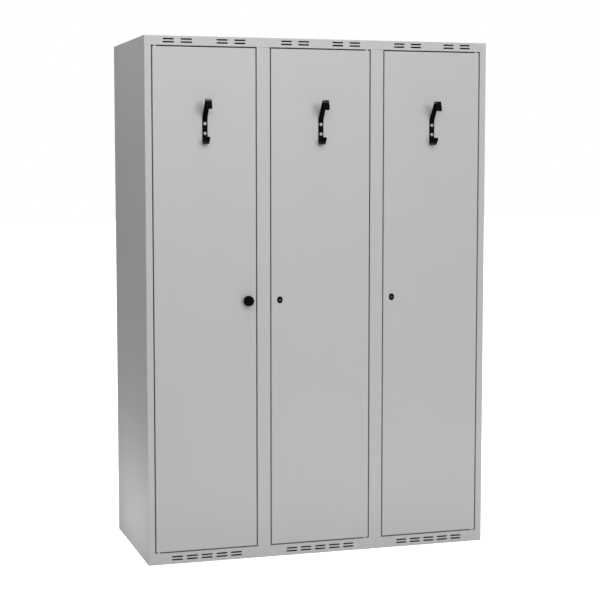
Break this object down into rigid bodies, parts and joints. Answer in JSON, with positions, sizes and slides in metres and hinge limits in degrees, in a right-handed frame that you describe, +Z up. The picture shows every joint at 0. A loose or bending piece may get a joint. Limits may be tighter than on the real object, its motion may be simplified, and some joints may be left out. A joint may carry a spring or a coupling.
{
  "type": "locker cabinet",
  "caption": "Sheet-steel locker with full-height hinged doors, double coat hooks, a turn knob, cam locks, vent slots and inner hanger rails.",
  "frame": {"origin": "on the floor, in the middle of the space that the closed locker takes up, coat hooks included", "axes": "+Z up, doors face -Y, +X to the right of someone facing the doors"},
  "size_m": [1.2018, 0.623, 1.75],
  "materials": {
    "cabinet_paint": "light grey powder coat, fine orange peel, satin",
    "hook_paint": "black lacquer, satin gloss",
    "black_plastic": "black moulded plastic, fine satin",
    "bright_rivet": "bright domed rivet",
    "zinc_steel": "zinc plated",
    "nickel_plug": "dull nickel",
    "rail_chrome": "bright tube, lightly brushed",
    "pale_nylon": "natural nylon",
    "buffer_rubber": "soft black rubber"
  },
  "bodies": {
    "cabinet": {"side_panel_left": "cabinet_paint", "side_panel_right": "cabinet_paint", "roof_panel": "cabinet_paint", "floor_panel": "cabinet_paint", "back_panel": "cabinet_paint", "door_stops": "cabinet_paint", "stop_buffers": "buffer_rubber", "rail_rivets": "bright_rivet", "partition_1": "cabinet_paint", "stile_angle_1": "cabinet_paint", "partition_2": "cabinet_paint", "stile_angle_2": "cabinet_paint", "hanger_rail_1": "rail_chrome", "rail_sockets_1": "pale_nylon", "hinge_bushes_1": "pale_nylon", "hanger_rail_2": "rail_chrome", "rail_sockets_2": "pale_nylon", "hinge_bushes_2": "pale_nylon", "hanger_rail_3": "rail_chrome", "rail_sockets_3": "pale_nylon", "hinge_bushes_3": "pale_nylon"},
    "door_1": {"door_panel_1": "cabinet_paint", "door_stiffener_1": "cabinet_paint", "hinge_brackets_1": "cabinet_paint", "hinge_pins_1": "zinc_steel", "coat_hook_1": "hook_paint", "hook_rivets_1": "bright_rivet", "knob_bush": "black_plastic", "knob_nut": "zinc_steel"},
    "door_2": {"door_panel_2": "cabinet_paint", "door_stiffener_2": "cabinet_paint", "hinge_brackets_2": "cabinet_paint", "hinge_pins_2": "zinc_steel", "coat_hook_2": "hook_paint", "hook_rivets_2": "bright_rivet", "lock_housing_2": "black_plastic", "lock_nut_2": "zinc_steel"},
    "door_3": {"door_panel_3": "cabinet_paint", "door_stiffener_3": "cabinet_paint", "hinge_brackets_3": "cabinet_paint", "hinge_pins_3": "zinc_steel", "coat_hook_3": "hook_paint", "hook_rivets_3": "bright_rivet", "lock_housing_3": "black_plastic", "lock_nut_3": "zinc_steel"},
    "knob_1": {"knob": "black_plastic", "knob_spindle": "zinc_steel", "latch_cam_1": "zinc_steel", "cam_screw_1": "zinc_steel"},
    "lock_2": {"lock_plug_2": "nickel_plug", "latch_cam_2": "zinc_steel", "cam_screw_2": "zinc_steel"},
    "lock_3": {"lock_plug_3": "nickel_plug", "latch_cam_3": "zinc_steel", "cam_screw_3": "zinc_steel"}
  },
  "joints": [
    {"name": "door_1_hinge", "type": "hinge", "parent": "cabinet", "child": "door_1", "pos_m": [-0.5647, -0.2305, 0.87865], "axis": [0, 0, -1], "range_deg": [0, 110]},
    {"name": "door_2_hinge", "type": "hinge", "parent": "cabinet", "child": "door_2", "pos_m": [0.1647, -0.2305, 0.87865], "axis": [0, 0, 1], "range_deg": [0, 110]},
    {"name": "door_3_hinge", "type": "hinge", "parent": "cabinet", "child": "door_3", "pos_m": [0.5647, -0.2305, 0.87865], "axis": [0, 0, 1], "range_deg": [0, 110]},
    {"name": "knob_turn", "type": "hinge", "parent": "door_1", "child": "knob_1", "pos_m": [-0.256, -0.2385, 0.87865], "axis": [0, 1, 0], "range_deg": [0, 90]},
    {"name": "lock_2_turn", "type": "hinge", "parent": "door_2", "child": "lock_2", "pos_m": [-0.144, -0.2385, 0.87865], "axis": [0, -1, 0], "range_deg": [0, 90]},
    {"name": "lock_3_turn", "type": "hinge", "parent": "door_3", "child": "lock_3", "pos_m": [0.256, -0.2385, 0.87865], "axis": [0, -1, 0], "range_deg": [0, 90]}
  ]
}
